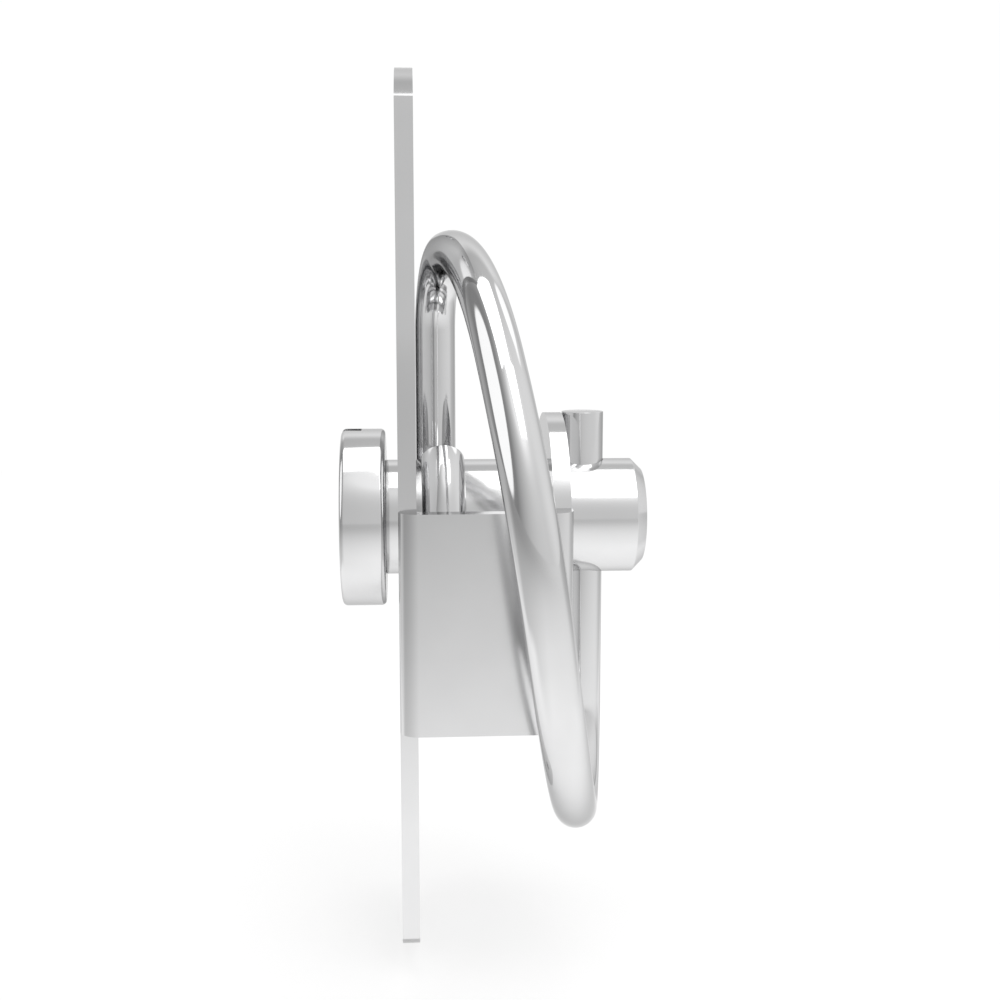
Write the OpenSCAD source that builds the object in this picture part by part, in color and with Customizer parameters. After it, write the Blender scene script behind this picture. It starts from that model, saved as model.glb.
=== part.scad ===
// Ring-handle compression latch: a formed sheet housing carries a round spindle,
// a bent rod handle turns the spindle, and a slotted screw head behind the back
// plate draws up to grip the panel.
//
// Frame: origin on the spindle axis at the back face of the plate,
// +X along the spindle towards its nose, +Z up the plate. Millimetres.

/* [Sheet housing] */
// Thickness of the sheet that the housing is formed from
sheet_t = 3.25; // [2.5:0.05:3.6]
// Inside radius of every fold
fold_r = 0.25; // [0.1:0.05:1]
// Width of the back plate
plate_w = 45; // [44:0.5:50]
// Crown of the back plate's round top end above the spindle axis
plate_up = 83.4; // [78:0.1:95]
// Crown of the back plate's round bottom end below the spindle axis
plate_down = 83.2; // [78:0.1:95]
// Radius of the back plate's round ends
plate_end_r = 37; // [32:0.5:60]
// Corner radius where a round end of the back plate meets its sides
plate_corner_r = 0.5; // [0.3:0.1:6]
// Front face of the front wall, measured from the back face of the plate
wall_front = 31.2; // [28:0.1:34]
// Top edge of the side flanges above the spindle axis
flange_up = 4.3; // [0:0.1:5]
// Bottom edge of the side flanges and the front wall below the spindle axis
flange_down = 36; // [28:0.5:37]
// Radius of the round top of the front wall
wall_top_r = 20; // [17:0.5:21]

/* [Mounting holes] */
// Diameter of each screw hole in the back plate
hole_d = 6.6; // [4.5:0.1:7]
// Distance between the two columns of screw holes
hole_dy = 25; // [20:0.5:28]
// Distance between the two rows of screw holes
hole_dz = 132; // [124:1:136]

/* [Spindle] */
// Diameter of the spindle
spindle_d = 22; // [20:0.1:22.4]
// How far the spindle stands out behind the back plate
spindle_back = 2.5; // [1:0.1:5]
// Nose of the spindle, measured from the back face of the plate
spindle_nose = 46.8; // [43:0.1:55]
// Chamfer round the spindle nose
nose_chamfer = 2; // [0.5:0.1:3]
// Radial running clearance of the spindle in the housing
run_clear = 0.08; // [0.04:0.01:0.1]

/* [Clamp screw] */
// Diameter of the slotted head
head_d = 34; // [28:0.5:38]
// Thickness of the slotted head
head_t = 8.3; // [7:0.1:12]
// Radius on both rims of the head
head_edge_r = 0.9; // [0.3:0.1:1.5]
// Width of the driving slot
slot_w = 4; // [2:0.1:6]
// Depth of the driving slot
slot_depth = 3.8; // [2:0.1:5]
// Diameter of the threaded shank
shank_d = 12; // [8:0.5:14]
// Length of the shank below the head
shank_len = 24; // [14:0.5:26]
// Radial clearance of the shank in the spindle
shank_clear = 0.08; // [0.04:0.01:0.1]
// Depth left free in front of the shank tip
tip_room = 2; // [1:0.5:4]

/* [Rod handle] */
// Diameter of the handle's rod
rod_d = 8; // [6:0.1:8.6]
// Radial clearance of the rod in the spindle's cross hole
rod_clear = 0.05; // [0.03:0.01:0.1]
// Gap between the rod and the sheet that it passes
rod_gap = 0.2; // [0.15:0.05:0.6]
// Top end of the rod above the spindle axis
rod_top = 20.2; // [16:0.1:26]
// Radius of the bow on the rod's centre line
bow_r = 52.9; // [52:0.1:60]
// Centre of the bow below the spindle axis
bow_drop = 2.6; // [0:0.1:4]
// Where the bow starts, as an angle from straight down
bow_start = 26; // [18:1:32]
// How far the end of the bow stands in front of the leg beside the plate
bow_lead = 2.5; // [1:0.1:5]
// How much tighter the bow's bends are than the bow, so that they stay apart
bow_ease = 2; // [1:0.1:4]
// Bend radius at the foot of the handle
foot_r = 15.5; // [10:0.5:17]
// Gap between the spindle and the eye that hooks round it
eye_gap = 0.5; // [0.3:0.05:1]
// How far the eye climbs over the spindle past its near side
eye_over = 51; // [20:1:60]
// How far the near side of the eye leans away from the plate
eye_lean = 0.9; // [0:0.1:2]

/* [Hidden] */
$fn = 96;

steel = [0.80, 0.81, 0.82];
plate_half = plate_w / 2;
flange_out = plate_half + sheet_t;
fold_out = fold_r + sheet_t;
wall_back = wall_front - sheet_t;
spindle_r = spindle_d / 2;
head_face = -spindle_back - head_t;
rod_r = rod_d / 2;
spoke_x = wall_front + rod_gap + rod_r;
leg_x = sheet_t + rod_gap + rod_r;
eye_r = spindle_r + eye_gap + rod_r;
bow_bends = 3;
bow_step = (180 - bow_start) / bow_bends;
bow_corner_r = bow_r / cos(bow_step / 2);
bow_z = -bow_drop;
top_z = bow_z + bow_r;
// Advance of the bow towards the plate for each degree of turn, set so that
// it comes down onto the leg as it passes over the spindle
bow_slope = (spoke_x - leg_x - bow_lead) / 180;
// How far a cut runs past the surface that it opens
cut = 1;
// The straight lengths of rod run this far into the bends, and are this much
// fuller, so that the lengths join into one solid with no seam left open
lap = 0.3;
lap_skin = 0.01;

// The bend points of the handle, from the rod's free end to its plate-side leg,
// and the bend radius at each inner one
function bow_point(turn) = [
    spoke_x - bow_slope * turn,
    -bow_corner_r * sin(turn),
    bow_z - bow_corner_r * cos(turn)
];
handle_points = concat(
    [[spoke_x, 0, rod_top], [spoke_x, 0, bow_z - bow_r / cos(bow_start)]],
    [for (i = [1:bow_bends]) bow_point(bow_start + (i - 0.5) * bow_step)],
    [[leg_x, eye_r, top_z], [leg_x, eye_r, 0]]
);
handle_radii = concat([foot_r], [for (i = [1:bow_bends]) bow_r - bow_ease], [eye_r]);

function unit(v) = v / norm(v);
function turn_at(p, i) = acos(unit(p[i] - p[i - 1]) * unit(p[i + 1] - p[i]));
function trim_at(p, r, i) =
    i == 0 || i == len(p) - 1 ? 0 : r[i - 1] * tan(turn_at(p, i) / 2);

// Places its child with the local axes x, y, z and the origin given
module in_frame(x, y, z, at) {
    multmatrix([
        [x[0], y[0], z[0], at[0]],
        [x[1], y[1], z[1], at[1]],
        [x[2], y[2], z[2], at[2]],
        [0, 0, 0, 1]
    ]) children();
}

// One straight length of rod between two places
module rod_straight(from, to) {
    z = unit(to - from);
    side = abs(z[1]) > 0.9 ? [1, 0, 0] : [0, 1, 0];
    x = unit(cross(side, z));
    in_frame(x, cross(z, x), z, from)
        cylinder(r = rod_r + lap_skin, h = norm(to - from));
}

// One bend of rod at the middle of three places
module rod_bend(before, corner, after, r) {
    u = unit(corner - before);
    v = unit(after - corner);
    w = unit(cross(u, v));
    n = cross(w, u);
    turn = acos(u * v);
    start = corner - u * r * tan(turn / 2);
    in_frame(-n, u, w, start + n * r)
        rotate_extrude(angle = turn)
            translate([r, 0]) circle(r = rod_r);
}

// A rod that follows the points, bent to the given radius at each inner one
module bent_rod(p, r) {
    for (i = [0:len(p) - 2]) {
        along = unit(p[i + 1] - p[i]);
        back = trim_at(p, r, i) - (i == 0 ? 0 : lap);
        ahead = trim_at(p, r, i + 1) - lap;
        rod_straight(p[i] + along * back, p[i + 1] - along * ahead);
    }
    for (i = [1:len(p) - 2])
        rod_bend(p[i - 1], p[i], p[i + 1], r[i - 1]);
}

// A cylinder along +X from one station to another
module along_x(r, from, to) {
    translate([from, 0, 0]) rotate([0, 90, 0]) cylinder(r = r, h = to - from);
}

// A round end of the back plate, seen from the centre of its arc, whose small
// corner circles touch both the arc and the sides
module plate_end(corner_x, corner_y) {
    intersection() {
        circle(r = plate_end_r);
        polygon([[0, 0], 2 * [corner_x, corner_y], 2 * [-corner_x, corner_y]]);
    }
    for (x = [-corner_x, corner_x])
        translate([x, corner_y]) circle(r = plate_corner_r);
}

// Outline of the back plate, drawn with its width along x and its height along y
module plate_outline() {
    corner_x = plate_half - plate_corner_r;
    corner_y = sqrt(pow(plate_end_r - plate_corner_r, 2) - pow(corner_x, 2));
    top = plate_up - plate_end_r;
    bottom = plate_end_r - plate_down;
    translate([-plate_half, bottom - corner_y])
        square([plate_w, top - bottom + 2 * corner_y]);
    translate([0, top]) plate_end(corner_x, corner_y);
    translate([0, bottom]) mirror([0, 1]) plate_end(corner_x, corner_y);
}

// Stands a drawing of width and height up as a sheet, from one station along X
module sheet_across(from, thickness) {
    translate([from, 0, 0]) rotate([90, 0, 90]) linear_extrude(thickness) children();
}

// Section of the folded strap, seen from above, open at the plate
module strap_section() {
    difference() {
        union() {
            translate([fold_out, -flange_out]) square([wall_front - 2 * fold_out, 2 * flange_out]);
            translate([fold_out, -flange_out + fold_out])
                square([wall_front - fold_out, 2 * (flange_out - fold_out)]);
            translate([0, -flange_out + fold_out]) square([fold_out, flange_out - fold_out]);
            translate([sheet_t, 0]) square([fold_out, flange_out]);
            for (y = [-flange_out + fold_out, flange_out - fold_out])
                translate([wall_front - fold_out, y]) circle(r = fold_out);
            translate([fold_out, -flange_out + fold_out]) circle(r = fold_out);
        }
        translate([sheet_t, -plate_half + fold_r])
            square([wall_back - sheet_t, plate_w - 2 * fold_r]);
        translate([sheet_t + fold_r, -plate_half])
            square([wall_back - sheet_t - 2 * fold_r, plate_w]);
        for (x = [sheet_t + fold_r, wall_back - fold_r])
            for (y = [-plate_half + fold_r, plate_half - fold_r])
                translate([x, y]) circle(r = fold_r);
        translate([-cut, plate_half]) square([sheet_t + cut, sheet_t + cut]);
    }
}

// The one-piece sheet housing: back plate, side flanges and front wall
module housing() {
    color(steel)
    difference() {
        union() {
            sheet_across(0, sheet_t) plate_outline();
            translate([0, 0, -flange_down]) linear_extrude(flange_down + flange_up) strap_section();
            along_x(wall_top_r, wall_back, wall_front);
        }
        along_x(spindle_r + run_clear, -cut, wall_front + cut);
        for (y = [-hole_dy / 2, hole_dy / 2])
            for (z = [-hole_dz / 2, hole_dz / 2])
                translate([0, y, z]) along_x(hole_d / 2, -cut, sheet_t + cut);
    }
}

// The bead that joins the end of the strap to the far edge of the back plate
module closing_weld() {
    color(steel)
    translate([sheet_t, plate_half, -flange_down])
        rotate([0, 0, 90])
            quarter_bar(sheet_t, flange_down + flange_up);
}

// A quarter of a round bar
module quarter_bar(r, h) {
    linear_extrude(h)
        intersection() {
            circle(r = r);
            square(r);
        }
}

// The round spindle with its chamfered nose, cross hole and tapped tail
module spindle() {
    color(steel)
    difference() {
        rotate([0, 90, 0]) rotate_extrude() polygon([
            [0, -spindle_back],
            [spindle_r, -spindle_back],
            [spindle_r, spindle_nose - nose_chamfer],
            [spindle_r - nose_chamfer, spindle_nose],
            [0, spindle_nose]
        ]);
        along_x(shank_d / 2 + shank_clear, -spindle_back - cut, shank_len + tip_room - spindle_back);
        translate([spoke_x, 0, -spindle_d]) cylinder(r = rod_r + rod_clear, h = 2 * spindle_d);
    }
}

// The clamp screw: a slotted round head on a shank that enters the spindle
module clamp_screw() {
    head_r = head_d / 2;
    color(steel)
    difference() {
        union() {
            rotate([0, 90, 0]) rotate_extrude() {
                translate([0, head_face]) square([head_r - head_edge_r, head_t]);
                translate([0, head_face + head_edge_r]) square([head_r, head_t - 2 * head_edge_r]);
                for (z = [head_face + head_edge_r, -spindle_back - head_edge_r])
                    translate([head_r - head_edge_r, z]) circle(r = head_edge_r);
            }
            along_x(shank_d / 2, -spindle_back - head_t / 2, shank_len - spindle_back);
        }
        translate([head_face - cut, -slot_w / 2, -head_d])
            cube([slot_depth + cut, slot_w, 2 * head_d]);
    }
}

// The bent rod handle: spoke, foot, bow, leg and the eye round the spindle
module handle() {
    lean = asin(eye_lean / (2 * eye_r));
    color(steel) {
        bent_rod(handle_points, handle_radii);
        translate([leg_x, eye_r, 0]) rotate([0, 0, lean])
            in_frame([0, 1, 0], [0, 0, -1], [-1, 0, 0], [0, -eye_r, 0])
                rotate_extrude(angle = 180 + eye_over)
                    translate([eye_r, 0]) circle(r = rod_r);
    }
}

housing();
closing_weld();
spindle();
clamp_screw();
handle();
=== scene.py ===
"""Looks, light and camera of the ring-handle latch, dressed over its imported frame.

The latch is a folded sheet housing with a welded corner, a turned spindle, a slotted
clamp screw behind the plate and one bent rod that makes the handle. All of it is
polished steel. Lengths are metres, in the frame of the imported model.
"""

import logging
import math
from dataclasses import dataclass
from enum import Enum
from typing import Any

import bmesh
import bpy
from mathutils import Matrix, Vector


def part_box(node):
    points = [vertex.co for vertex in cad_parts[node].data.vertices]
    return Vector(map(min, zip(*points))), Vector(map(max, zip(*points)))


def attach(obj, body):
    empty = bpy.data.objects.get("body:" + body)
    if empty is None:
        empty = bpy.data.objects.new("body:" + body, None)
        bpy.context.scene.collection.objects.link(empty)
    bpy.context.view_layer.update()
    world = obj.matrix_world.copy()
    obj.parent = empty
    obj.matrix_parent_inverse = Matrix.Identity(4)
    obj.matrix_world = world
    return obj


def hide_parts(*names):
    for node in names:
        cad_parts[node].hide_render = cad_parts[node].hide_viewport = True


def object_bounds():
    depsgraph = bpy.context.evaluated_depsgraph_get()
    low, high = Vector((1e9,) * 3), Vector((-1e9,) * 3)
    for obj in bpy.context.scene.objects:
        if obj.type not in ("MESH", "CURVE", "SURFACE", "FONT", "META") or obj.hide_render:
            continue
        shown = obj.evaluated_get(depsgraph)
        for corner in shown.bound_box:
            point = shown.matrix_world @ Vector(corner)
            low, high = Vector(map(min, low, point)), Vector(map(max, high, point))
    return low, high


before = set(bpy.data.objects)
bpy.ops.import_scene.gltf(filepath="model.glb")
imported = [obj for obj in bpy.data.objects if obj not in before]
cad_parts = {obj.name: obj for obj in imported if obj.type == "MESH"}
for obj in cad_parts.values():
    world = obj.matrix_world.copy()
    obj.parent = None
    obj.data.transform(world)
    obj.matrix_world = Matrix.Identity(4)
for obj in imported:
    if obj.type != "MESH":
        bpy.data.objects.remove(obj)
CAD_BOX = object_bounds()

MM = 0.001
# The shortest length that counts, which also keeps a divisor off zero
SPOT = 1e-6
# A vertex this close to a plane lies on it
NEAR = 10 * SPOT

log = logging.getLogger("latch")


class Body(Enum):
    """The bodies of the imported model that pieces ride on."""

    HOUSING = "housing"
    SPINDLE = "spindle"
    CLAMP_SCREW = "clamp_screw"


class Slot(Enum):
    """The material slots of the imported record."""

    SHEET = "polished_sheet"
    WELD = "weld_bead"
    TURNED = "turned_steel"
    ROD = "polished_rod"


class Num:
    """A number in a node tree, on which Python's operators add Math nodes."""

    def __init__(self, graph: "Graph", socket: Any) -> None:
        """Wraps a socket or a plain number of that tree."""
        self.graph = graph
        self.socket = socket

    def _math(self, operation: str, *values: Any) -> "Num":
        """Adds one Math node on the values and returns its result."""
        node = self.graph.add("ShaderNodeMath", {"operation": operation}, dict(enumerate(values)))
        return Num(self.graph, node.outputs[0])

    def __add__(self, other: Any) -> "Num":
        """Sum with a number or socket."""
        return self._math("ADD", self, other)

    def __radd__(self, other: Any) -> "Num":
        """Sum with this on the right."""
        return self._math("ADD", other, self)

    def __sub__(self, other: Any) -> "Num":
        """Difference."""
        return self._math("SUBTRACT", self, other)

    def __rsub__(self, other: Any) -> "Num":
        """Difference with this on the right."""
        return self._math("SUBTRACT", other, self)

    def __mul__(self, other: Any) -> "Num":
        """Product."""
        return self._math("MULTIPLY", self, other)

    def __rmul__(self, other: Any) -> "Num":
        """Product with this on the right."""
        return self._math("MULTIPLY", other, self)

    def __truediv__(self, other: Any) -> "Num":
        """Quotient."""
        return self._math("DIVIDE", self, other)

    def __rtruediv__(self, other: Any) -> "Num":
        """Quotient with this below the line."""
        return self._math("DIVIDE", other, self)

    def __pow__(self, other: Any) -> "Num":
        """Power."""
        return self._math("POWER", self, other)

    def __neg__(self) -> "Num":
        """The opposite number."""
        return self._math("MULTIPLY", self, -1.0)

    def __abs__(self) -> "Num":
        """Size without its sign."""
        return self._math("ABSOLUTE", self)

    def call(self, operation: str, *others: Any) -> "Num":
        """Any other operation of a Math node, by its name."""
        return self._math(operation, self, *others)

    def ramp(self, start: float, end: float, low: float = 0.0, high: float = 1.0) -> "Num":
        """Goes smoothly from low at start to high at end.

        Args:
            start: Value of this number where the ramp begins.
            end: Value where it ends. It may be below start.
            low: Result at start and before it.
            high: Result at end and past it.

        Returns:
            The ramped number.
        """
        flip = end < start
        first, last = (end, start) if flip else (start, end)
        below, above = (high, low) if flip else (low, high)
        node = self.graph.add(
            "ShaderNodeMapRange",
            {"interpolation_type": "SMOOTHSTEP"},
            {"Value": self, "From Min": first, "From Max": last, "To Min": below, "To Max": above},
        )
        return Num(self.graph, node.outputs["Result"])


class Graph:
    """A node tree that is being written: a material, the world or Geometry Nodes."""

    NOISE_ROUGHNESS = 0.55

    def __init__(self, tree: bpy.types.NodeTree) -> None:
        """Starts the tree with no nodes."""
        self.tree = tree
        tree.nodes.clear()

    def put(self, socket: bpy.types.NodeSocket, value: Any) -> None:
        """Links a socket to another, or sets its value.

        Args:
            socket: The input that takes the value.
            value: A Num, a socket or a plain value.
        """
        if isinstance(value, Num):
            value = value.socket
        if isinstance(value, bpy.types.NodeSocket):
            self.tree.links.new(value, socket)
        else:
            socket.default_value = value

    def add(self, kind: str, settings: dict | None = None, sockets: dict | None = None) -> bpy.types.Node:
        """Adds one node.

        Args:
            kind: The node's type.
            settings: Its own properties, which are set first.
            sockets: Values or links for its inputs, by name or number.

        Returns:
            The node.
        """
        node = self.tree.nodes.new(kind)
        for name, value in (settings or {}).items():
            setattr(node, name, value)
        for key, value in (sockets or {}).items():
            self.put(node.inputs[key], value)
        return node

    def split(self, vector: Any) -> tuple[Num, Num, Num]:
        """The three parts of a vector as numbers."""
        node = self.add("ShaderNodeSeparateXYZ", None, {0: vector})
        return Num(self, node.outputs[0]), Num(self, node.outputs[1]), Num(self, node.outputs[2])

    def join(self, x: Any, y: Any, z: Any) -> bpy.types.NodeSocket:
        """A vector from three numbers."""
        return self.add("ShaderNodeCombineXYZ", None, {0: x, 1: y, 2: z}).outputs[0]

    def grey(self, value: Num) -> bpy.types.NodeSocket:
        """A grey colour from one number."""
        return self.join(value, value, value)

    def noise(self, vector: Any, scale: float, detail: float = 2.0) -> Num:
        """Noise from 0 to 1 over a vector.

        Args:
            vector: Where it is read.
            scale: Cycles for each unit of the vector.
            detail: Octaves of finer noise.

        Returns:
            The noise as a number.
        """
        sockets = {"Vector": vector, "Scale": scale, "Detail": detail, "Roughness": self.NOISE_ROUGHNESS}
        return Num(self, self.add("ShaderNodeTexNoise", None, sockets).outputs[0])


@dataclass(frozen=True)
class Steel:
    """What all the steel finishes share.

    The polish is the roughness where it is best, and the haze where it is most dull.
    Clouds are the broad changes of a hand-held wheel, and marks are its fine ones.
    What changes in tone and haze is shared between them: cloud_in_tone and
    cloud_in_haze are the share of the clouds, and the marks have the rest.
    """

    name: str
    tone: tuple = (0.83, 0.83, 0.833)
    worn_tone: tuple = (0.80, 0.80, 0.804)
    rim_tint: float = 0.60
    polish: float = 0.05
    haze: float = 0.09
    cloud_size: float = 14 * MM
    cloud_detail: float = 3.0
    cloud_edges: tuple = (0.35, 0.7)
    cloud_in_tone: float = 0.7
    cloud_in_haze: float = 0.6
    mark_size: float = 0.3 * MM
    mark_height: float = 0.0004 * MM
    mark_strength: float = 0.25

    def marks(self, graph: Graph, place: bpy.types.NodeSocket) -> Num:
        """Fine marks of the finish, from 0 to 1, over the piece's own coordinates."""
        return graph.noise(place, 1 / self.mark_size)

    def material(self) -> bpy.types.Material:
        """Writes the finish as a material.

        Returns:
            The material, with colour, roughness and bump that vary over the surface.
        """
        material = bpy.data.materials.new(self.name)
        material.use_nodes = True
        graph = Graph(material.node_tree)
        place = graph.add("ShaderNodeTexCoord").outputs["Object"]
        cloud = graph.noise(place, 1 / self.cloud_size, self.cloud_detail).ramp(*self.cloud_edges)
        marks = self.marks(graph, place)
        tone = cloud * self.cloud_in_tone + marks * (1 - self.cloud_in_tone)
        dull = cloud * self.cloud_in_haze + marks * (1 - self.cloud_in_haze)
        colour = graph.add(
            "ShaderNodeMix",
            {"data_type": "RGBA"},
            {"Factor": tone, "A": (*self.tone, 1.0), "B": (*self.worn_tone, 1.0)},
        )
        bump = graph.add(
            "ShaderNodeBump",
            None,
            {"Strength": self.mark_strength, "Distance": self.mark_height, "Height": marks},
        )
        shader = graph.add(
            "ShaderNodeBsdfPrincipled",
            None,
            {
                "Base Color": colour.outputs["Result"],
                "Metallic": 1.0,
                "Specular Tint": (self.rim_tint, self.rim_tint, self.rim_tint, 1.0),
                "Roughness": self.polish + (self.haze - self.polish) * dull,
                "Normal": bump.outputs[0],
            },
        )
        graph.add("ShaderNodeOutputMaterial", None, {"Surface": shader.outputs[0]})
        return material


@dataclass(frozen=True)
class PolishedSheet(Steel):
    """Sheet steel, polished up and down its height."""

    name: str = "polished_sheet"
    polish: float = 0.09
    haze: float = 0.14
    stroke: float = 12 * MM
    stroke_w: float = 0.25 * MM

    def marks(self, graph: Graph, place: bpy.types.NodeSocket) -> Num:
        """Long faint strokes of the polishing wheel, along the height."""
        x, y, z = graph.split(place)
        return graph.noise(graph.join(x / self.stroke_w, y / self.stroke_w, z / self.stroke), 1.0)


@dataclass(frozen=True)
class TurnedSteel(Steel):
    """Turned bar: faint rings of the tool about the spindle axis."""

    name: str = "turned_steel"
    polish: float = 0.09
    haze: float = 0.14
    feed: float = 0.16 * MM

    def marks(self, graph: Graph, place: bpy.types.NodeSocket) -> Num:
        """Rings that depend only on the distance from the axis and the place along it."""
        x, y, z = graph.split(place)
        radius = (y * y + z * z) ** 0.5
        return graph.noise(graph.join(x / self.feed, radius / self.feed, 0.0), 1.0, 1.0)


@dataclass(frozen=True)
class DrawnRod(Steel):
    """Drawn and buffed rod: faint lines that follow the rod round its bends."""

    name: str = "polished_rod"
    line_length: float = 18 * MM
    lines_round: float = 14.0

    def marks(self, graph: Graph, place: bpy.types.NodeSocket) -> Num:
        """Lines along the rod, read from the attribute that the sweep leaves."""
        grain = graph.add("ShaderNodeAttribute", {"attribute_name": RodHandle.GRAIN}).outputs["Vector"]
        x, y, along = graph.split(grain)
        x, y = x * self.lines_round, y * self.lines_round
        return graph.noise(graph.join(x, y, along / self.line_length), 1.0)


@dataclass(frozen=True)
class ThreadSteel(TurnedSteel):
    """Rolled thread: duller than the turned faces, with dark roots."""

    name: str = "rolled_thread"
    tone: tuple = (0.78, 0.78, 0.79)
    worn_tone: tuple = (0.62, 0.62, 0.63)
    polish: float = 0.16
    haze: float = 0.30


@dataclass(frozen=True)
class WeldSteel(Steel):
    """Weld bead: brushed after welding, with a little straw colour left in it."""

    name: str = "weld_bead"
    tone: tuple = (0.74, 0.73, 0.71)
    worn_tone: tuple = (0.66, 0.60, 0.50)
    polish: float = 0.14
    haze: float = 0.32
    cloud_size: float = 5 * MM
    mark_height: float = 0.01 * MM


def rounded(corners: list, radii: list, steps: int = 6) -> list:
    """Rounds the corners of an open line.

    Args:
        corners: Points of the line as Vectors, of two or three dimensions.
        radii: A radius for each inner point. A radius of 0 leaves it sharp.
        steps: Chords for each arc of a small radius.

    Returns:
        The points of the rounded line.
    """
    line = [corners[0].copy()]
    for before, corner, after, radius in zip(corners, corners[1:], corners[2:], radii):
        u = (before - corner).normalized()
        v = (after - corner).normalized()
        turn = math.pi - u.angle(v)
        if radius <= 0 or turn < SPOT:
            line.append(corner.copy())
            continue
        middle = corner + (u + v).normalized() * (radius / math.cos(turn / 2))
        start = corner + u * (radius * math.tan(turn / 2)) - middle
        for i in range(steps + 1):
            angle = turn * i / steps
            line.append(middle + start * math.cos(angle) - u * (radius * math.sin(angle)))
        line[-1] = corner + v * (radius * math.tan(turn / 2))
    line.append(corners[-1].copy())
    return line


class Maker:
    """Makes plain mesh pieces and hands them over to the frame."""

    @staticmethod
    def piece(name: str, mesh: bpy.types.Mesh) -> bpy.types.Object:
        """An object at the origin that shows the mesh."""
        found = bpy.data.objects.new(name, mesh)
        bpy.context.scene.collection.objects.link(found)
        return found

    @staticmethod
    def from_bmesh(name: str, shape: bmesh.types.BMesh) -> bpy.types.Object:
        """An object from a bmesh, which is freed."""
        mesh = bpy.data.meshes.new(name)
        shape.to_mesh(mesh)
        shape.free()
        return Maker.piece(name, mesh)

    @staticmethod
    def lathe(name: str, profile: list, sides: int = 256) -> bpy.types.Object:
        """Turns a closed profile about the spindle axis.

        Args:
            name: Name of the piece.
            profile: Points of (place along X, radius), from the axis back to the axis.
            sides: Faces round the axis.

        Returns:
            The turned piece, with its faces pointing outwards.
        """
        shape = bmesh.new()
        rings = []
        for point in profile:
            x, radius = point[0], point[1]
            count = 1 if radius < SPOT else sides
            rings.append([
                shape.verts.new((
                    x,
                    radius * math.cos(2 * math.pi * i / sides),
                    radius * math.sin(2 * math.pi * i / sides),
                ))
                for i in range(count)
            ])
        for first, second in zip(rings, rings[1:]):
            for i in range(sides):
                j = (i + 1) % sides
                corners = [first[i % len(first)], first[j % len(first)]]
                corners += [second[j % len(second)], second[i % len(second)]]
                shape.faces.new(list(dict.fromkeys(corners)))
        bmesh.ops.recalc_face_normals(shape, faces=shape.faces)
        return Maker.from_bmesh(name, shape)

    @staticmethod
    def cut(target: bpy.types.Object, tool: bpy.types.Object) -> None:
        """Takes the tool's shape out of the target and removes the tool."""
        modifier = target.modifiers.new("cut", "BOOLEAN")
        modifier.object = tool
        modifier.solver = "EXACT"
        Maker.settle(target)
        bpy.data.objects.remove(tool)

    @staticmethod
    def settle(target: bpy.types.Object) -> None:
        """Turns the target's modifiers into its own plain mesh."""
        depsgraph = bpy.context.evaluated_depsgraph_get()
        result = bpy.data.meshes.new_from_object(
            target.evaluated_get(depsgraph), preserve_all_data_layers=True, depsgraph=depsgraph
        )
        target.modifiers.clear()
        target.data = result

    @staticmethod
    def smooth(target: bpy.types.Object, sharp: float = 30.0) -> None:
        """Shades the faces smooth, and leaves edges over an angle in degrees sharp."""
        target.data.shade_smooth()
        target.data.set_sharp_from_angle(angle=math.radians(sharp))

    @staticmethod
    def hand_over(target: bpy.types.Object, body: Body, slot: Slot, finish: Steel, *nodes: str) -> None:
        """Dresses a piece and gives it to the frame.

        Args:
            target: The finished piece.
            body: The body that it moves with.
            slot: The record's slot that its finish belongs to. It is not used.
            finish: The finish that covers it.
            nodes: The CAD nodes that it stands for.
        """
        if not target.data.materials or target.data.materials[0] is None:
            target.data.materials.clear()
            target.data.materials.append(finish.material())
        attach(target, body.value)
        if nodes:
            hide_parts(*nodes)
        log.info("%s: %d faces, rides on %s", target.name, len(target.data.polygons), body.value)


class Tree:
    """A Geometry Nodes tree with named inputs, for one piece."""

    def __init__(self, name: str, inputs: dict[str, tuple[str, Any]]) -> None:
        """Makes the tree.

        Args:
            name: Name of the tree.
            inputs: Socket type and value of each input, by its name.
        """
        self.tree = bpy.data.node_groups.new(name, "GeometryNodeTree")
        self.graph = Graph(self.tree)
        self.tree.interface.new_socket(name="Geometry", in_out="INPUT", socket_type="NodeSocketGeometry")
        self.values = {}
        for key, (kind, value) in {**inputs, "Finish": ("NodeSocketMaterial", None)}.items():
            socket = self.tree.interface.new_socket(name=key, in_out="INPUT", socket_type=kind)
            self.values[key] = (socket.identifier, value)
        self.tree.interface.new_socket(name="Geometry", in_out="OUTPUT", socket_type="NodeSocketGeometry")
        self.source = self.graph.add("NodeGroupInput")

    def get(self, name: str) -> bpy.types.NodeSocket:
        """The socket of a named input."""
        return self.source.outputs[name]

    def num(self, name: str) -> Num:
        """A named input as a number."""
        return Num(self.graph, self.get(name))

    def finish(self, geometry: bpy.types.NodeSocket) -> None:
        """Ends the tree in real geometry with its finish on."""
        real = self.graph.add("GeometryNodeRealizeInstances", None, {"Geometry": geometry})
        dressed = self.graph.add(
            "GeometryNodeSetMaterial", None, {"Geometry": real.outputs[0], "Material": self.get("Finish")}
        )
        self.graph.add("NodeGroupOutput", None, {"Geometry": dressed.outputs[0]})

    def run(self, target: bpy.types.Object, finish: Steel) -> None:
        """Puts the tree on a piece, sets its inputs and settles the result."""
        modifier = target.modifiers.new(self.tree.name, "NODES")
        modifier.node_group = self.tree
        for key, (identifier, value) in self.values.items():
            modifier[identifier] = finish.material() if key == "Finish" else value
        Maker.settle(target)


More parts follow.
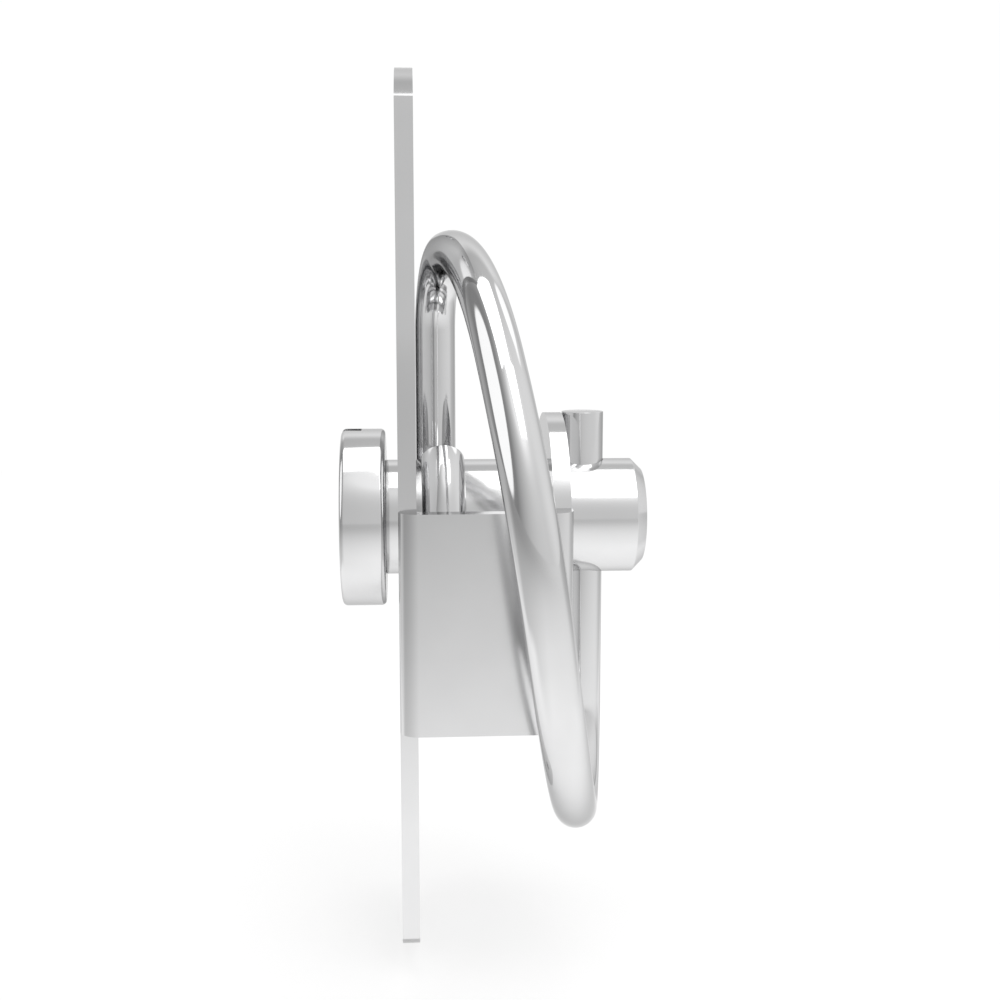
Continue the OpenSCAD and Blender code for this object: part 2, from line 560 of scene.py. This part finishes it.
@dataclass
class Housing:
    """The folded sheet housing and the weld that closes it."""

    sheet_t: float = 3.25 * MM
    edge_round: float = 0.22 * MM
    edge_steps: int = 3
    edge_angle: float = math.radians(35)
    flat_angle: float = math.radians(0.3)
    ripple: float = 1.5 * MM
    ripple_depth: float = 0.13
    ripple_bow: float = 0.9 * MM
    ripple_power: float = 0.6
    bead_round: int = 25
    bead_rings: int = 360
    bead_sharp: float = 40.0

    def sheet(self) -> bpy.types.Object:
        """Softens the edges of the folded sheet, as its polishing does.

        Returns:
            The sheet, ready to hand over.
        """
        shape = bmesh.new()
        shape.from_mesh(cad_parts["housing"].data)
        bmesh.ops.remove_doubles(shape, verts=shape.verts, dist=SPOT)
        bmesh.ops.dissolve_limit(
            shape, angle_limit=self.flat_angle, verts=shape.verts, edges=shape.edges, delimit={"NORMAL"}
        )
        piece = Maker.from_bmesh("sheet_housing", shape)
        piece.data.materials.clear()
        Maker.smooth(piece)
        bevel = piece.modifiers.new("soft_edges", "BEVEL")
        bevel.width = self.edge_round
        bevel.segments = self.edge_steps
        bevel.limit_method = "ANGLE"
        bevel.angle_limit = self.edge_angle
        bevel.harden_normals = True
        Maker.settle(piece)
        return piece

    def weld(self) -> bpy.types.Object:
        """Sweeps a rippled quarter-round bead up the corner of plate and strap.

        Returns:
            The bead, in place.
        """
        low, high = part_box("closing_weld")
        length = high.z - low.z
        tree = Tree("weld_ripples", {
            "Radius": ("NodeSocketFloat", self.sheet_t),
            "Length": ("NodeSocketFloat", length),
            "Ripple": ("NodeSocketFloat", self.ripple),
            "Depth": ("NodeSocketFloat", self.ripple_depth),
            "Bow": ("NodeSocketFloat", self.ripple_bow),
        })
        graph = tree.graph
        grid = graph.add(
            "GeometryNodeMeshGrid",
            None,
            {
                "Size X": math.pi / 2,
                "Size Y": 1.0,
                "Vertices X": self.bead_round,
                "Vertices Y": self.bead_rings,
            },
        )
        turn, up, _ = graph.split(graph.add("GeometryNodeInputPosition").outputs[0])
        turn = turn + math.pi / 4
        across = turn.call("SINE")
        out = turn.call("COSINE")
        along = (up + 0.5) * tree.num("Length")
        phase = (along + tree.num("Bow") * (across * out * 2)) / tree.num("Ripple")
        crest = abs((phase * math.pi).call("SINE"))
        radius = tree.num("Radius") * (1 - tree.num("Depth") * (1 - crest ** self.ripple_power))
        spot = graph.join(radius * out, radius * across, along)
        placed = graph.add(
            "GeometryNodeSetPosition", None, {"Geometry": grid.outputs["Mesh"], "Position": spot}
        )
        tree.finish(placed.outputs[0])
        piece = Maker.piece("corner_weld", bpy.data.meshes.new("corner_weld"))
        tree.run(piece, WeldSteel())
        self._close(piece, length)
        corner = Vector((high.x, low.y, low.z))
        piece.data.transform(Matrix.Translation(corner) @ Matrix.Rotation(math.pi / 2, 4, "Z"))
        Maker.smooth(piece, self.bead_sharp)
        return piece

    @staticmethod
    def _close(piece: bpy.types.Object, length: float) -> None:
        """Closes the bead's back along its corner, and its two ends."""
        shape = bmesh.new()
        shape.from_mesh(piece.data)
        ends = [shape.verts.new((0, 0, z)) for z in (0, length)]
        rims = [edge for edge in shape.edges if edge.is_boundary]
        for edge in rims:
            a, b = edge.verts
            if abs(a.co.z - b.co.z) < NEAR:
                near = ends[0] if a.co.z < length / 2 else ends[1]
                shape.faces.new((a, b, near))
        for level in (0, 1):
            side = [v for v in shape.verts if abs(v.co[level]) < NEAR]
            rim = sorted((v for v in side if v not in ends), key=lambda v: v.co.z)
            shape.faces.new([ends[0], *rim, ends[1]])
        bmesh.ops.recalc_face_normals(shape, faces=shape.faces)
        bmesh.ops.triangulate(shape, faces=[f for f in shape.faces if len(f.verts) > 4])
        shape.to_mesh(piece.data)
        shape.free()

    def build(self) -> None:
        """Makes and hands over the sheet and its weld."""
        Maker.hand_over(self.sheet(), Body.HOUSING, Slot.SHEET, PolishedSheet(), "housing")
        Maker.hand_over(self.weld(), Body.HOUSING, Slot.WELD, WeldSteel(), "closing_weld")


@dataclass
class Spindle:
    """The turned spindle with its bore and cross hole."""

    nose_chamfer: float = 2.0 * MM
    bore_r: float = 6.08 * MM
    bore_end: float = 23.5 * MM
    hole_r: float = 4.05 * MM
    hole_sides: int = 128
    break_edge: float = 0.25 * MM

    def build(self, spoke_x: float) -> None:
        """Turns the spindle, drills it and hands it over.

        Args:
            spoke_x: Place of the cross hole along the spindle.
        """
        low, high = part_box("spindle")
        radius = high.z
        corners = [
            (self.bore_end, 0),
            (self.bore_end, self.bore_r),
            (low.x, self.bore_r),
            (low.x, radius),
            (high.x - self.nose_chamfer, radius),
            (high.x, radius - self.nose_chamfer),
            (high.x, 0),
        ]
        radii = [0] + [self.break_edge] * (len(corners) - 3)
        piece = Maker.lathe("turned_spindle", rounded([Vector(c) for c in corners], radii))
        reach = 2 * radius
        drill_corners = [(-reach, 0), (-reach, self.hole_r), (reach, self.hole_r), (reach, 0)]
        drill = Maker.lathe("drill", drill_corners, self.hole_sides)
        drill.data.transform(Matrix.Translation((spoke_x, 0, 0)) @ Matrix.Rotation(math.pi / 2, 4, "Y"))
        Maker.cut(piece, drill)
        Maker.smooth(piece)
        Maker.hand_over(piece, Body.SPINDLE, Slot.TURNED, TurnedSteel(), "spindle")


@dataclass
class ClampScrew:
    """The slotted clamp screw: head and threaded shank."""

    shank_r: float = 6.0 * MM
    shank_end: float = 21.5 * MM
    neck: float = 1.2 * MM
    neck_round: float = 0.3 * MM
    edge_round: float = 0.9 * MM
    edge_steps: int = 10
    slot_w: float = 4.0 * MM
    slot_depth: float = 3.8 * MM
    slot_lip: float = 0.25 * MM
    mill_over: float = 1.0 * MM
    pitch: float = 1.75 * MM
    thread_depth: float = 0.95 * MM
    # The thread is cut as a V made thread_steep times as steep and raised by
    # thread_flat, which leaves its crest and its root flat
    thread_steep: float = 1.35
    thread_flat: float = 0.1
    thread_run_out: float = 2.0 * MM
    thread_lead: float = 1.2 * MM
    thread_sides: int = 96
    thread_rings: int = 192
    thread_sharp: float = 50.0

    @property
    def seat(self) -> float:
        """Place along X where the head meets the tail of the spindle."""
        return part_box("spindle")[0].x

    def head(self) -> bpy.types.Object:
        """Turns the head and mills its slot.

        Returns:
            The head with its slot open across the back.
        """
        low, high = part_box("clamp_screw")
        back = low.x
        radius = high.z
        front = self.seat
        root = self.shank_r - self.thread_depth
        corners = [
            (back, 0),
            (back, radius),
            (front, radius),
            (front, root),
            (front + self.neck, root),
            (front + self.neck, 0),
        ]
        radii = [self.edge_round, self.edge_round, self.neck_round, 0]
        piece = Maker.lathe("screw_head", rounded([Vector(c) for c in corners], radii, self.edge_steps))
        shape = bmesh.new()
        half = self.slot_w / 2
        mouth = half + self.slot_lip + self.mill_over
        outline = [
            (-self.mill_over, mouth),
            (self.slot_lip, half),
            (self.slot_depth, half),
            (self.slot_depth, -half),
            (self.slot_lip, -half),
            (-self.mill_over, -mouth),
        ]
        ends = [
            [shape.verts.new((back + x, y, z)) for x, y in outline]
            for z in (-2 * radius, 2 * radius)
        ]
        shape.faces.new(ends[0])
        shape.faces.new(ends[1][::-1])
        for i in range(len(outline)):
            j = (i + 1) % len(outline)
            shape.faces.new((ends[0][i], ends[0][j], ends[1][j], ends[1][i]))
        bmesh.ops.recalc_face_normals(shape, faces=shape.faces)
        Maker.cut(piece, Maker.from_bmesh("mill", shape))
        Maker.smooth(piece)
        return piece

    def thread(self) -> bpy.types.Object:
        """Rolls the thread on the shank.

        Returns:
            The shank, in place, with the thread running out at both ends.
        """
        start = self.seat + self.neck
        length = self.shank_end - start
        tree = Tree("rolled_thread", {
            "Crest Radius": ("NodeSocketFloat", self.shank_r),
            "Thread Depth": ("NodeSocketFloat", self.thread_depth),
            "Pitch": ("NodeSocketFloat", self.pitch),
            "Length": ("NodeSocketFloat", length),
        })
        graph = tree.graph
        bar = graph.add(
            "GeometryNodeMeshCylinder",
            {"fill_type": "NGON"},
            {
                "Vertices": self.thread_sides,
                "Side Segments": self.thread_rings,
                "Radius": tree.get("Crest Radius"),
                "Depth": tree.get("Length"),
            },
        )
        x, y, z = graph.split(graph.add("GeometryNodeInputPosition").outputs[0])
        along = z + tree.num("Length") / 2
        phase = (along / tree.num("Pitch") - y.call("ARCTAN2", x) / (2 * math.pi)).call("FRACT")
        flank = abs(phase * 2 - 1) * self.thread_steep - self.thread_flat
        flank = flank.call("MAXIMUM", 0.0).call("MINIMUM", 1.0)
        run_out = along.ramp(0.0, self.thread_run_out, 1.0, 0.0)
        tip = (tree.num("Length") - along).ramp(0.0, self.thread_lead, 1.0, 0.0)
        cut = flank.call("MAXIMUM", run_out).call("MAXIMUM", tip)
        radius = tree.num("Crest Radius") - tree.num("Thread Depth") * cut
        scale = radius / (x * x + y * y) ** 0.5
        placed = graph.add(
            "GeometryNodeSetPosition",
            None,
            {"Geometry": bar.outputs["Mesh"], "Position": graph.join(x * scale, y * scale, z)},
        )
        tree.finish(placed.outputs[0])
        piece = Maker.piece("screw_thread", bpy.data.meshes.new("screw_thread"))
        tree.run(piece, ThreadSteel())
        piece.data.transform(
            Matrix.Translation((start + length / 2, 0, 0)) @ Matrix.Rotation(math.pi / 2, 4, "Y")
        )
        Maker.smooth(piece, self.thread_sharp)
        return piece

    def build(self) -> None:
        """Makes and hands over the head and the thread."""
        Maker.hand_over(self.head(), Body.CLAMP_SCREW, Slot.TURNED, TurnedSteel(), "clamp_screw")
        Maker.hand_over(self.thread(), Body.CLAMP_SCREW, Slot.TURNED, ThreadSteel())


@dataclass
class RodHandle:
    """The bent rod handle: spoke, foot, bow, leg and the eye round the spindle."""

    GRAIN = "rod_grain"
    END = "rod_end"

    # The free end is rod_top above the spindle axis. The bow starts bow_start round
    # from straight down and ends bow_end_out in front of the leg beside the plate.
    # Its bends are tighter than the bow by bend_ease, so that they stay apart. The eye
    # climbs eye_over past the near side of the spindle and leans eye_lean away from
    # the plate there.
    rod_r: float = 4.0 * MM
    rod_top: float = 20.2 * MM
    bow_r: float = 52.9 * MM
    bow_start: float = math.radians(26)
    bow_bends: int = 3
    bow_end_out: float = 2.5 * MM
    bend_ease: float = 2.0 * MM
    foot_r: float = 15.5 * MM
    eye_over: float = math.radians(51)
    eye_lean: float = 0.9 * MM
    end_round: float = 0.08 * MM
    end_steps: int = 6
    bend_steps: int = 40
    chord: float = math.radians(1.5)
    sides: int = 96

    def __post_init__(self) -> None:
        """Reads the places that the rod's box gives."""
        low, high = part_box("handle")
        self.spoke_x = high.x - self.rod_r
        self.leg_x = low.x + self.rod_r
        self.eye_r = high.y - self.rod_r
        self.top_z = high.z - self.rod_r
        self.bow_z = self.top_z - self.bow_r

    def bend_points(self) -> list:
        """The corners that the rod is bent at, from its free end to its plate-side leg."""
        step = (math.pi - self.bow_start) / self.bow_bends
        corner_r = self.bow_r / math.cos(step / 2)
        slope = (self.spoke_x - self.leg_x - self.bow_end_out) / math.pi
        foot_z = self.bow_z - self.bow_r / math.cos(self.bow_start)
        points = [Vector((self.spoke_x, 0, self.rod_top)), Vector((self.spoke_x, 0, foot_z))]
        for i in range(self.bow_bends):
            turn = self.bow_start + (i + 0.5) * step
            points.append(Vector((
                self.spoke_x - slope * turn,
                -corner_r * math.sin(turn),
                self.bow_z - corner_r * math.cos(turn),
            )))
        points.append(Vector((self.leg_x, self.eye_r, self.top_z)))
        points.append(Vector((self.leg_x, self.eye_r, 0)))
        return points

    def eye_points(self) -> list:
        """The rest of the rod, from the leg under the spindle and up its near side."""
        lean = math.asin(self.eye_lean / (2 * self.eye_r))
        reach = math.pi + self.eye_over
        count = round(reach / self.chord)
        points = []
        for i in range(1, count + 1):
            angle = reach * i / count
            inward = self.eye_r * (math.cos(angle) - 1)
            points.append(Vector((
                self.leg_x - inward * math.sin(lean),
                self.eye_r + inward * math.cos(lean),
                -self.eye_r * math.sin(angle),
            )))
        return points

    def route(self) -> list:
        """The whole centre line of the rod.

        Returns:
            Points close enough together for the sweep to look round.
        """
        radii = [self.foot_r] + [self.bow_r - self.bend_ease] * self.bow_bends + [self.eye_r]
        return rounded(self.bend_points(), radii, self.bend_steps) + self.eye_points()

    def eased_ends(self, line: list) -> tuple[list, list]:
        """Adds the points that round the rims of the rod's two ends.

        Args:
            line: The centre line.

        Returns:
            The longer line, and the share of the rod's radius at each of its points.
        """
        first = (line[1] - line[0]).normalized()
        last = (line[-2] - line[-1]).normalized()
        head, tail, shares = [], [], []
        for i in range(self.end_steps):
            angle = math.pi / 2 * i / self.end_steps
            inward = self.end_round * (1 - math.cos(angle))
            shares.append(1 - self.end_round / self.rod_r * (1 - math.sin(angle)))
            head.append(line[0] + first * inward)
            tail.append(line[-1] + last * inward)
        inner = [line[0] + first * self.end_round, *line[1:-1], line[-1] + last * self.end_round]
        return head + inner + tail[::-1], shares + [1.0] * len(inner) + shares[::-1]

    def sweep(self) -> Tree:
        """Writes the sweep of the rod's round section along its centre line.

        Returns:
            The tree, which also leaves the grain's attribute on the mesh.
        """
        tree = Tree("rod_sweep", {
            "Rod Radius": ("NodeSocketFloat", self.rod_r),
            "Sides": ("NodeSocketInt", self.sides),
        })
        graph = tree.graph
        path = graph.add("GeometryNodeMeshToCurve", None, {"Mesh": tree.get("Geometry")})
        section = graph.add(
            "GeometryNodeCurvePrimitiveCircle",
            None,
            {"Resolution": tree.get("Sides"), "Radius": tree.get("Rod Radius")},
        )
        keep = "GeometryNodeCaptureAttribute"
        along = graph.add(keep, {"domain": "POINT"}, {"Geometry": path.outputs[0]})
        along.capture_items.new("FLOAT", "Along")
        graph.put(along.inputs[1], graph.add("GeometryNodeSplineParameter").outputs["Length"])
        around = graph.add(keep, {"domain": "POINT"}, {"Geometry": section.outputs[0]})
        around.capture_items.new("VECTOR", "Around")
        graph.put(around.inputs[1], graph.add("GeometryNodeInputPosition").outputs[0])
        share = graph.add("GeometryNodeInputNamedAttribute", {"data_type": "FLOAT"}, {"Name": self.END})
        tube = graph.add(
            "GeometryNodeCurveToMesh",
            None,
            {
                "Curve": along.outputs[0],
                "Profile Curve": around.outputs[0],
                "Scale": share.outputs["Attribute"],
                "Fill Caps": True,
            },
        )
        x, y, _ = graph.split(around.outputs[1])
        grain = graph.join(x / tree.num("Rod Radius"), y / tree.num("Rod Radius"), along.outputs[1])
        stored = graph.add(
            "GeometryNodeStoreNamedAttribute",
            {"data_type": "FLOAT_VECTOR", "domain": "POINT"},
            {"Geometry": tube.outputs[0], "Name": self.GRAIN, "Value": grain},
        )
        tree.finish(stored.outputs[0])
        return tree

    def build(self) -> None:
        """Bends the rod and hands it over."""
        line, shares = self.eased_ends(self.route())
        mesh = bpy.data.meshes.new("rod_handle")
        mesh.from_pydata(line, [(i, i + 1) for i in range(len(line) - 1)], [])
        mesh.attributes.new(self.END, "FLOAT", "POINT").data.foreach_set("value", shares)
        piece = Maker.piece("rod_handle", mesh)
        self.sweep().run(piece, DrawnRod())
        shape = bmesh.new()
        shape.from_mesh(piece.data)
        bmesh.ops.recalc_face_normals(shape, faces=shape.faces)
        shape.to_mesh(piece.data)
        shape.free()
        Maker.smooth(piece)
        Maker.hand_over(piece, Body.SPINDLE, Slot.ROD, DrawnRod(), "handle")


def bearing(azimuth: float, elevation: float) -> Vector:
    """Direction seen from the latch.

    Args:
        azimuth: Degrees from the front towards the nose of the spindle.
        elevation: Degrees above the horizon.

    Returns:
        The direction, of length 1.
    """
    side, rise = math.radians(azimuth), math.radians(elevation)
    return Vector((math.sin(side) * math.cos(rise), -math.cos(side) * math.cos(rise), math.sin(rise)))


@dataclass(frozen=True)
class SoftBox:
    """A rectangular lamp that hangs level and shines straight down."""

    name: str
    place: tuple
    wide: float
    deep: float
    turn: float
    radiance: float

    def hang(self) -> None:
        """Hangs the lamp in its place."""
        data = bpy.data.lights.new(self.name, "AREA")
        data.shape = "RECTANGLE"
        data.size = self.wide
        data.size_y = self.deep
        data.energy = self.radiance * math.pi * self.wide * self.deep
        holder = bpy.data.objects.new(self.name, data)
        bpy.context.scene.collection.objects.link(holder)
        holder.location = self.place
        holder.rotation_euler.z = math.radians(self.turn)


@dataclass
class Studio:
    """Camera, lamps, floor and room.

    Levels are brightness, where 1 is white. Bearings are pairs of azimuth and elevation in
    degrees, and edges and spreads of what the room holds are degrees too.
    """

    # Film width and focal length are in millimetres, as the camera takes them, and
    # clip is the nearest and the farthest distance that it draws
    sensor: float = 36.0
    lens: float = 49.69
    eye: tuple = (2.398 * MM, -264.166 * MM, 41.492 * MM)
    pitch: float = math.radians(8.264)
    yaw: float = math.radians(3.705)
    clip: tuple = (0.01, 100.0)
    # How often light may go from steel to steel, so that facing faces don't go black
    bounces: int = 12
    # Level of the white floor and the white paper behind the latch
    white: float = 1.01

    overhead: SoftBox = SoftBox("overhead_box", (0.0, 0.0, 0.90), 0.62, 0.62, 12.5, 1.3)
    key: SoftBox = SoftBox("key_box", (0.365, -0.547, 0.90), 0.52, 0.66, 19.2, 1.6)

    # The floor has the level floor_near out to floor_even from the latch, and fades to
    # floor_far over floor_fade. In front it loses level towards the left, which is a painted
    # shadow of the latch, and far off it gains towards the right: floor_lean_span is the
    # share of y in the way there at which that sets in and at which it is full.
    floor_reach: float = 12.0
    floor_near: float = 0.98
    floor_left_painted_shadow: float = 0.27
    floor_far: float = 0.53
    floor_far_lean: float = 0.22
    floor_even: float = 0.085
    floor_fade: float = 0.21
    floor_lean_span: tuple = (0.4, -0.1)
    # The white floor spreads out behind the latch as the view does. white_half is the
    # slope to either side at which it ends and at which it is full, and it sets in
    # over white_blend up to white_start in front of the spindle.
    white_half: tuple = (0.60, 0.41)
    white_start: float = 0.035
    white_blend: float = 0.05
    # At the latch, paint_share of the floor's level is paint, which takes the shadow,
    # and the rest is glow. The paint ends at paint_reach, and paint_level is the light
    # that falls on it.
    paint_share: float = 0.38
    paint_level: float = 0.87
    paint_reach: float = 0.8

    # The walls have the level wall_dark out to wall_rim past the panel, and gain
    # wall_gain over wall_spread. The side wall adds to them, by the degrees from its
    # middle at which it ends and at which it is full.
    wall_dark: float = 0.25
    wall_gain: float = 0.45
    wall_rim: float = 8.0
    wall_spread: float = 30.0
    side_wall: tuple = (100.0, 25.0)
    side_wall_span: tuple = (50.0, 10.0)
    side_wall_gain: float = 0.14
    glow: tuple = (22.0, 57.0)
    glow_level: float = 0.46
    glow_edge: float = 16.5
    glow_spread: float = 10.0
    panel: tuple = (-84.0, 26.5)
    panel_edge: float = 26.5
    panel_level: float = 1.17
    side_lamp: tuple = (128.0, 42.0)
    side_edge: float = 11.5
    side_level: float = 1.3
    lamp_blur: float = 1.5
    # The white paper, by the direction looked in: its slope to either side, its part
    # towards the back and its part upwards, each from where the paper ends to where
    # it is full
    backdrop_half: tuple = (0.8, 0.45)
    backdrop_depth: tuple = (0.5, 0.7)
    backdrop_height: tuple = (0.80, 0.60)

    def camera(self) -> None:
        """Sets the camera where the photograph was taken from."""
        data = bpy.data.cameras.new("camera")
        data.lens = self.lens
        data.sensor_width = self.sensor
        data.clip_start = self.clip[0]
        data.clip_end = self.clip[1]
        holder = bpy.data.objects.new("camera", data)
        bpy.context.scene.collection.objects.link(holder)
        ahead = Vector((
            math.sin(self.yaw) * math.cos(self.pitch),
            math.cos(self.yaw) * math.cos(self.pitch),
            -math.sin(self.pitch),
        ))
        holder.location = self.eye
        holder.rotation_euler = ahead.to_track_quat("-Z", "Y").to_euler()
        bpy.context.scene.camera = holder

    def floor_level(self, away: Num, x: Num, y: Num) -> Num:
        """Brightness of the floor: white behind the latch as the camera sees it, and greyer
        away from the latch everywhere else, most of all in front on the left, where a shadow
        of the latch is painted in.

        Args:
            away: Distance from the latch.
            x: Place along the spindle.
            y: Place behind the spindle.

        Returns:
            The brightness, where 1 is white.
        """
        right = x / (away + SPOT) * (y / (away + SPOT)).ramp(*self.floor_lean_span)
        # In front, near is darker towards the left: a painted shadow of the latch on the floor
        near = self.floor_near - self.floor_left_painted_shadow * (-right).call("MAXIMUM", 0.0)
        far = self.floor_far + self.floor_far_lean * right
        fade = ((away - self.floor_even).call("MAXIMUM", 0.0) / -self.floor_fade).call("EXPONENT")
        ahead = (y - self.eye[1]).call("MAXIMUM", SPOT)
        across = abs((x - self.eye[0]) / ahead - math.tan(self.yaw))
        lit = across.ramp(*self.white_half) * (y + self.white_start).ramp(-self.white_blend, 0.0)
        return (far + (near - far) * fade) * (1 - lit) + self.white * lit

    def floor(self) -> None:
        """Lays the floor, whose paint takes the shadow and whose glow gives its level."""
        shape = bmesh.new()
        bmesh.ops.create_grid(shape, x_segments=1, y_segments=1, size=self.floor_reach)
        piece = Maker.from_bmesh("floor", shape)
        piece.location.z = CAD_BOX[0].z
        material = bpy.data.materials.new("graded_paper")
        material.use_nodes = True
        graph = Graph(material.node_tree)
        x, y, _ = graph.split(graph.add("ShaderNodeTexCoord").outputs["Object"])
        away = (x * x + y * y) ** 0.5
        level = self.floor_level(away, x, y)
        share = away.ramp(self.paint_reach, 0.0, 0.0, self.paint_share)
        paint = level * share / self.paint_level
        glow = level * (1 - share)
        diffuse = graph.add("ShaderNodeBsdfDiffuse", None, {"Color": graph.grey(paint)})
        light = graph.add("ShaderNodeEmission", None, {"Color": graph.grey(glow), "Strength": 1.0})
        both = graph.add("ShaderNodeAddShader", None, {0: diffuse.outputs[0], 1: light.outputs[0]})
        graph.add("ShaderNodeOutputMaterial", None, {"Surface": both.outputs[0]})
        piece.data.materials.append(material)

    @staticmethod
    def degrees_from(place: tuple, look: tuple[Num, Num, Num]) -> Num:
        """Angle between the direction looked in and a bearing.

        Args:
            place: The bearing, as azimuth and elevation in degrees.
            look: The three parts of the direction looked in.

        Returns:
            The angle in degrees.
        """
        axis = bearing(*place)
        x, y, z = look
        cosine = (x * axis.x + y * axis.y + z * axis.z).call("MINIMUM", 1.0)
        return cosine.call("ARCCOSINE") * math.degrees(1)

    def room(self) -> None:
        """Writes the room as the world.

        Its walls are grey, and darker round a round white panel on the left. The key lamp
        has a glow about it, a small lamp stands behind on the right, and white paper hangs
        behind the latch.
        """
        world = bpy.data.worlds.new("room")
        world.use_nodes = True
        bpy.context.scene.world = world
        graph = Graph(world.node_tree)
        look = graph.split(graph.add("ShaderNodeTexCoord").outputs["Generated"])
        x, y, z = look
        from_panel = self.degrees_from(self.panel, look)
        past_rim = (from_panel - (self.panel_edge + self.wall_rim)).call("MAXIMUM", 0.0)
        shade = (past_rim / -self.wall_spread).call("EXPONENT")
        past_glow = (self.degrees_from(self.glow, look) - self.glow_edge).call("MAXIMUM", 0.0)
        grey = self.wall_dark + self.wall_gain * (1 - shade)
        grey = grey + self.glow_level * (past_glow / -self.glow_spread).call("EXPONENT")
        side_wall = self.degrees_from(self.side_wall, look).ramp(*self.side_wall_span)
        grey = grey + side_wall * self.side_wall_gain
        for place, edge, level in (
            (from_panel, self.panel_edge, self.panel_level),
            (self.degrees_from(self.side_lamp, look), self.side_edge, self.side_level),
        ):
            inside = place.ramp(edge + self.lamp_blur, edge - self.lamp_blur)
            grey = grey * (1 - inside) + level * inside
        across = abs(x / y.call("MAXIMUM", SPOT) - math.tan(self.yaw))
        behind = across.ramp(*self.backdrop_half) * y.ramp(*self.backdrop_depth)
        behind = behind * z.ramp(*self.backdrop_height)
        grey = grey * (1 - behind) + self.white * behind
        sky = graph.add("ShaderNodeBackground", None, {"Color": graph.grey(grey), "Strength": 1.0})
        graph.add("ShaderNodeOutputWorld", None, {"Surface": sky.outputs[0]})

    def build(self) -> None:
        """Sets up the whole studio."""
        self.camera()
        self.room()
        self.floor()
        self.overhead.hang()
        self.key.hang()
        bpy.context.scene.view_settings.view_transform = "Standard"
        bpy.context.scene.cycles.glossy_bounces = self.bounces


def main() -> None:
    """Builds the studio and the latch, in order."""
    logging.basicConfig(level=logging.INFO, format="%(message)s")
    Studio().build()
    handle = RodHandle()
    Housing().build()
    Spindle().build(handle.spoke_x)
    ClampScrew().build()
    handle.build()


if __name__ == "__main__":
    main()
